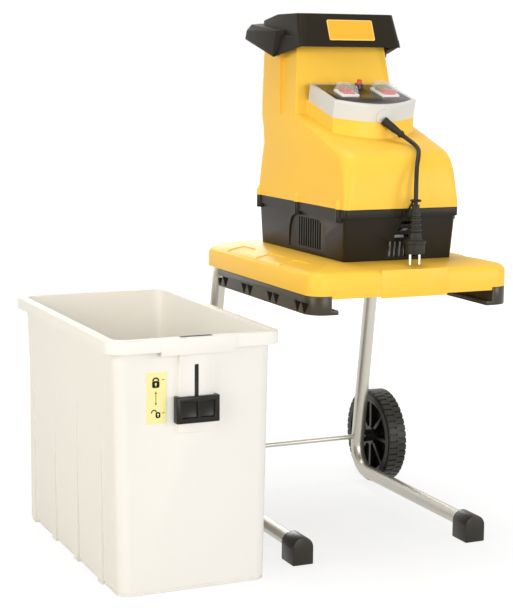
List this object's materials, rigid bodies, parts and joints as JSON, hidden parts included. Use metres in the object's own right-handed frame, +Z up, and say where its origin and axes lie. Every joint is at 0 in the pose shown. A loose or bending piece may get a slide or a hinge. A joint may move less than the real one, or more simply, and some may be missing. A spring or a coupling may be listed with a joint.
{
  "type": "garden shredder",
  "caption": "Electric roller shredder for garden waste: yellow and black housing with sloping controls and hopper on a wheeled tube stand, beside its pull-out collection box.",
  "frame": {"origin": "on the floor, under the middle of the bounding box of the machine and the collection box beside it", "axes": "+Z up, +X to the machine's right seen from its front, +Y from the front (feet and controls) to the back (wheels)"},
  "size_m": [0.8214, 0.6454, 0.992],
  "materials": {
    "yellow_plastic": "moulded, satin gloss",
    "black_plastic": "moulded, fine grain",
    "leg_steel": "silver powder coat",
    "bright_steel": "zinc plated",
    "tyre_rubber": "moulded tread",
    "bezel_plastic": "light grey, satin",
    "plate_plastic": "black, smooth",
    "white_plastic": "white",
    "clear_cover": "clear soft plastic",
    "red_plastic": "red",
    "green_plastic": "green",
    "cord_rubber": "black, matt",
    "pin_metal": "nickel plated",
    "cast_alloy": "die cast",
    "gear_steel": "hardened",
    "core_iron": "laminated",
    "copper": "enamelled wire",
    "box_plastic": "cream, slightly translucent",
    "label_film": "printed film"
  },
  "bodies": {
    "machine": {"left_leg": "leg_steel", "right_leg": "leg_steel", "left_foot": "black_plastic", "right_foot": "black_plastic", "wheel_axle": "bright_steel", "axle_caps": "black_plastic", "platform": "yellow_plastic", "left_rail": "black_plastic", "right_rail": "black_plastic", "rail_screws": "bright_steel", "leg_bolts": "bright_steel", "interlock_switch": "black_plastic", "lower_housing": "black_plastic", "cord_hook": "black_plastic", "housing_screws": "bright_steel", "base_bolts": "bright_steel", "upper_housing": "yellow_plastic", "rear_cover": "black_plastic", "hopper_cap": "black_plastic", "badge_plate": "yellow_plastic", "feed_chute": "black_plastic", "control_bezel": "bezel_plastic", "control_plate": "plate_plastic", "switch_frames": "white_plastic", "switch_covers": "clear_cover", "strain_relief": "cord_rubber", "power_cord": "cord_rubber", "plug_body": "cord_rubber", "plug_pins": "pin_metal", "crusher_case": "cast_alloy", "gearbox_case": "cast_alloy", "gearbox_cover": "cast_alloy", "stator_core": "core_iron", "stator_windings": "copper", "motor_front_shield": "cast_alloy", "ball_bearings": "bright_steel", "capacitor": "cast_alloy"},
    "left_wheel": {"left_tyre": "tyre_rubber", "left_wheel_hub": "black_plastic"},
    "right_wheel": {"right_tyre": "tyre_rubber", "right_wheel_hub": "black_plastic"},
    "rocker": {"direction_rocker": "red_plastic"},
    "on_push": {"on_button": "green_plastic"},
    "off_push": {"off_button": "red_plastic"},
    "reset_push": {"reset_button": "red_plastic"},
    "plunger": {"interlock_plunger": "white_plastic"},
    "rotor": {"motor_rotor": "core_iron", "motor_pinion": "gear_steel", "cooling_fan": "black_plastic"},
    "intermediate": {"intermediate_gears": "gear_steel", "intermediate_shaft": "bright_steel"},
    "roller": {"crushing_roller": "gear_steel", "roller_shaft": "bright_steel", "output_gear": "gear_steel"},
    "knob": {"adjusting_screw": "bright_steel", "adjusting_knob": "black_plastic"},
    "plate": {"pressure_plate": "cast_alloy"},
    "box": {"collection_box": "box_plastic", "lock_label": "label_film"},
    "box_lock": {"box_lock_slider": "black_plastic"}
  },
  "joints": [
    {"name": "left_wheel_spin", "type": "hinge", "parent": "machine", "child": "left_wheel", "pos_m": [-0.0671, 0.22271, 0.1], "axis": [1, 0, 0], "continuous": true},
    {"name": "right_wheel_spin", "type": "hinge", "parent": "machine", "child": "right_wheel", "pos_m": [0.3837, 0.22271, 0.1], "axis": [1, 0, 0], "continuous": true},
    {"name": "direction_rock", "type": "hinge", "parent": "machine", "child": "rocker", "pos_m": [0.1183, -0.12343, 0.84015], "axis": [1, 0, 0], "range_deg": [-9, 9]},
    {"name": "on_press", "type": "slide", "parent": "machine", "child": "on_push", "axis": [0, 0.2504, -0.9681], "range_m": [0, 0.004], "stiffness_N_per_m": 500, "springref_m": -0.003},
    {"name": "off_press", "type": "slide", "parent": "machine", "child": "off_push", "axis": [0, 0.2504, -0.9681], "range_m": [0, 0.004], "stiffness_N_per_m": 500, "springref_m": -0.003},
    {"name": "reset_press", "type": "slide", "parent": "machine", "child": "reset_push", "axis": [0, 0.2504, -0.9681], "range_m": [0, 0.003], "stiffness_N_per_m": 300, "springref_m": -0.003},
    {"name": "plunger_press", "type": "slide", "parent": "machine", "child": "plunger", "axis": [0, 0, 1], "range_m": [0, 0.004], "stiffness_N_per_m": 300, "springref_m": -0.001},
    {"name": "rotor_spin", "type": "hinge", "parent": "machine", "child": "rotor", "pos_m": [0.1463, -0.18871, 0.645], "axis": [0, 1, 0], "continuous": true},
    {"name": "intermediate_spin", "type": "hinge", "parent": "machine", "child": "intermediate", "pos_m": [0.1463, -0.10872, 0.70125], "axis": [0, 1, 0], "continuous": true},
    {"name": "roller_spin", "type": "hinge", "parent": "machine", "child": "roller", "pos_m": [0.1463, 0.00528, 0.645], "axis": [0, 1, 0], "continuous": true},
    {"name": "knob_turn", "type": "hinge", "parent": "machine", "child": "knob", "pos_m": [0.2583, 0.00528, 0.665], "axis": [1, 0, 0], "range_deg": [0, 1080]},
    {"name": "plate_feed", "type": "slide", "parent": "machine", "child": "plate", "axis": [-1, 0, 0], "range_m": [0, 0.0045]},
    {"name": "box_lift", "type": "slide", "parent": "machine", "child": "box", "axis": [0, 0, 1], "range_m": [0, 0.3]},
    {"name": "lock_slide", "type": "slide", "parent": "box", "child": "box_lock", "axis": [0, 0, 1], "range_m": [0, 0.06]}
  ],
  "couplings": [
    {"joint": "intermediate_spin", "follows": "rotor_spin", "ratio": -0.15385},
    {"joint": "roller_spin", "follows": "rotor_spin", "ratio": 0.038462},
    {"joint": "knob_turn", "follows": "plate_feed", "rad_per_m": 4188.8}
  ]
}
